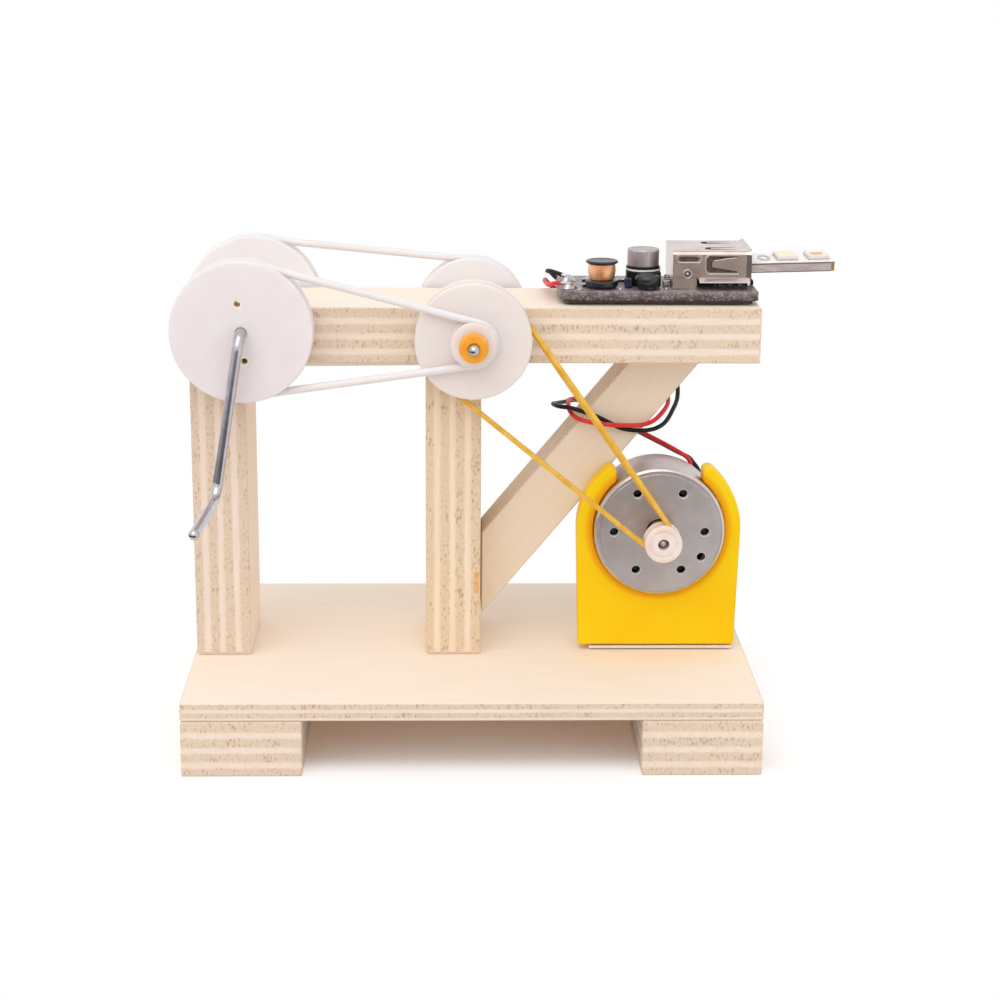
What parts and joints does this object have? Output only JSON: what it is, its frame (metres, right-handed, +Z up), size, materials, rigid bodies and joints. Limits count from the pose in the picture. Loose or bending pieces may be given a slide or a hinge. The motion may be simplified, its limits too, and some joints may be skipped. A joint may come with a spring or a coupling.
{
  "type": "hand crank generator",
  "caption": "Wooden science-kit generator: a bent crank drives large belt wheels, a small motor and a voltage board with a plug-in light stick",
  "frame": {"origin": "On the ground, under the middle of the whole object's bounding box", "axes": "+X runs along the top beam from the crank to the light stick, +Y runs from the crank's handle to the back, +Z is up"},
  "size_m": [0.121, 0.08, 0.0902],
  "materials": {
    "plywood": "birch plywood, sanded and unvarnished, with its layers showing on the edges",
    "frosted_plastic": "frosted translucent moulded plastic",
    "steel_rod": "bright drawn steel rod",
    "orange_plastic": "orange moulded plastic",
    "pale_rubber": "pale translucent rubber",
    "amber_rubber": "amber yellow rubber",
    "yellow_plastic": "bright yellow moulded plastic",
    "foam_tape": "white double-sided foam tape",
    "grey_foam_tape": "grey double-sided foam tape",
    "motor_steel": "zinc-plated drawn steel",
    "brass": "turned brass and bronze",
    "black_plastic": "black moulded plastic",
    "ferrite": "pressed black ferrite",
    "core_steel": "stacked steel laminations",
    "copper": "enamelled copper wire",
    "ivory_plastic": "pale pink-white moulded plastic",
    "circuit_board": "fibre circuit board with clear solder lacquer",
    "aluminium_can": "drawn aluminium can",
    "nickel_plate": "nickel-plated folded sheet",
    "white_plastic": "white moulded plastic",
    "white_lacquer": "circuit board under white lacquer",
    "light": "pale amber silicone over a light-emitting diode",
    "blue_lacquer": "dark blue lacquer",
    "solder": "bright solder",
    "red_insulation": "red wire insulation",
    "black_insulation": "black wire insulation"
  },
  "bodies": {
    "stand": {"base_plate": "plywood", "foot_left": "plywood", "foot_right": "plywood", "post_left": "plywood", "post_middle": "plywood", "top_beam": "plywood", "brace": "plywood", "middle_axle": "steel_rod", "collar_front": "orange_plastic", "collar_back": "orange_plastic", "front_belt": "pale_rubber", "back_belt": "pale_rubber", "drive_belt": "amber_rubber", "motor_bracket": "yellow_plastic", "bracket_tape": "foam_tape", "board_tape": "grey_foam_tape", "motor_can": "motor_steel", "terminal_left": "motor_steel", "terminal_right": "motor_steel", "front_bush": "brass", "rear_bush": "brass", "brush_left": "brass", "brush_right": "brass", "motor_end_cap": "black_plastic", "capacitor_base": "black_plastic", "boost_chip": "black_plastic", "magnet_ring": "ferrite", "inductor_core": "ferrite", "small_inductor": "ferrite", "inductor_winding": "copper", "circuit_board": "circuit_board", "capacitor_can": "aluminium_can", "resistor": "aluminium_can", "usb_shell": "nickel_plate", "usb_tongue": "white_plastic", "diode": "blue_lacquer", "solder_joint_red": "solder", "solder_joint_black": "solder", "wire_red": "red_insulation", "wire_black": "black_insulation"},
    "crank": {"crank_rod": "steel_rod", "crank_wheel_front": "frosted_plastic", "crank_wheel_back": "frosted_plastic"},
    "front_pulley": {"middle_wheel_front": "frosted_plastic"},
    "back_wheel": {"middle_wheel_back": "frosted_plastic"},
    "rotor": {"motor_shaft": "motor_steel", "armature_core": "core_steel", "armature_winding_1": "copper", "armature_winding_2": "copper", "armature_winding_3": "copper", "commutator": "brass", "motor_pulley": "ivory_plastic"},
    "light_stick": {"led_stick_board": "white_lacquer", "led_chip_1": "light", "led_chip_2": "light"}
  },
  "joints": [
    {"name": "crank_turn", "type": "hinge", "parent": "stand", "child": "crank", "pos_m": [-0.04763, 0.00403, 0.0768], "axis": [0, 1, 0], "continuous": true},
    {"name": "front_pulley_turn", "type": "hinge", "parent": "stand", "child": "front_pulley", "pos_m": [-0.00613, -0.01062, 0.075], "axis": [0, 1, 0], "continuous": true},
    {"name": "back_wheel_turn", "type": "hinge", "parent": "stand", "child": "back_wheel", "pos_m": [-0.00613, 0.01968, 0.075], "axis": [0, 1, 0], "continuous": true},
    {"name": "rotor_turn", "type": "hinge", "parent": "stand", "child": "rotor", "pos_m": [0.02888, 0.00118, 0.0376], "axis": [0, 1, 0], "continuous": true},
    {"name": "stick_slide", "type": "slide", "parent": "stand", "child": "light_stick", "axis": [1, 0, 0], "range_m": [0, 0.0115]}
  ],
  "couplings": [
    {"joint": "front_pulley_turn", "follows": "crank_turn", "ratio": 3.1026},
    {"joint": "back_wheel_turn", "follows": "crank_turn", "ratio": 1.2222},
    {"joint": "rotor_turn", "follows": "crank_turn", "ratio": 11.575}
  ]
}
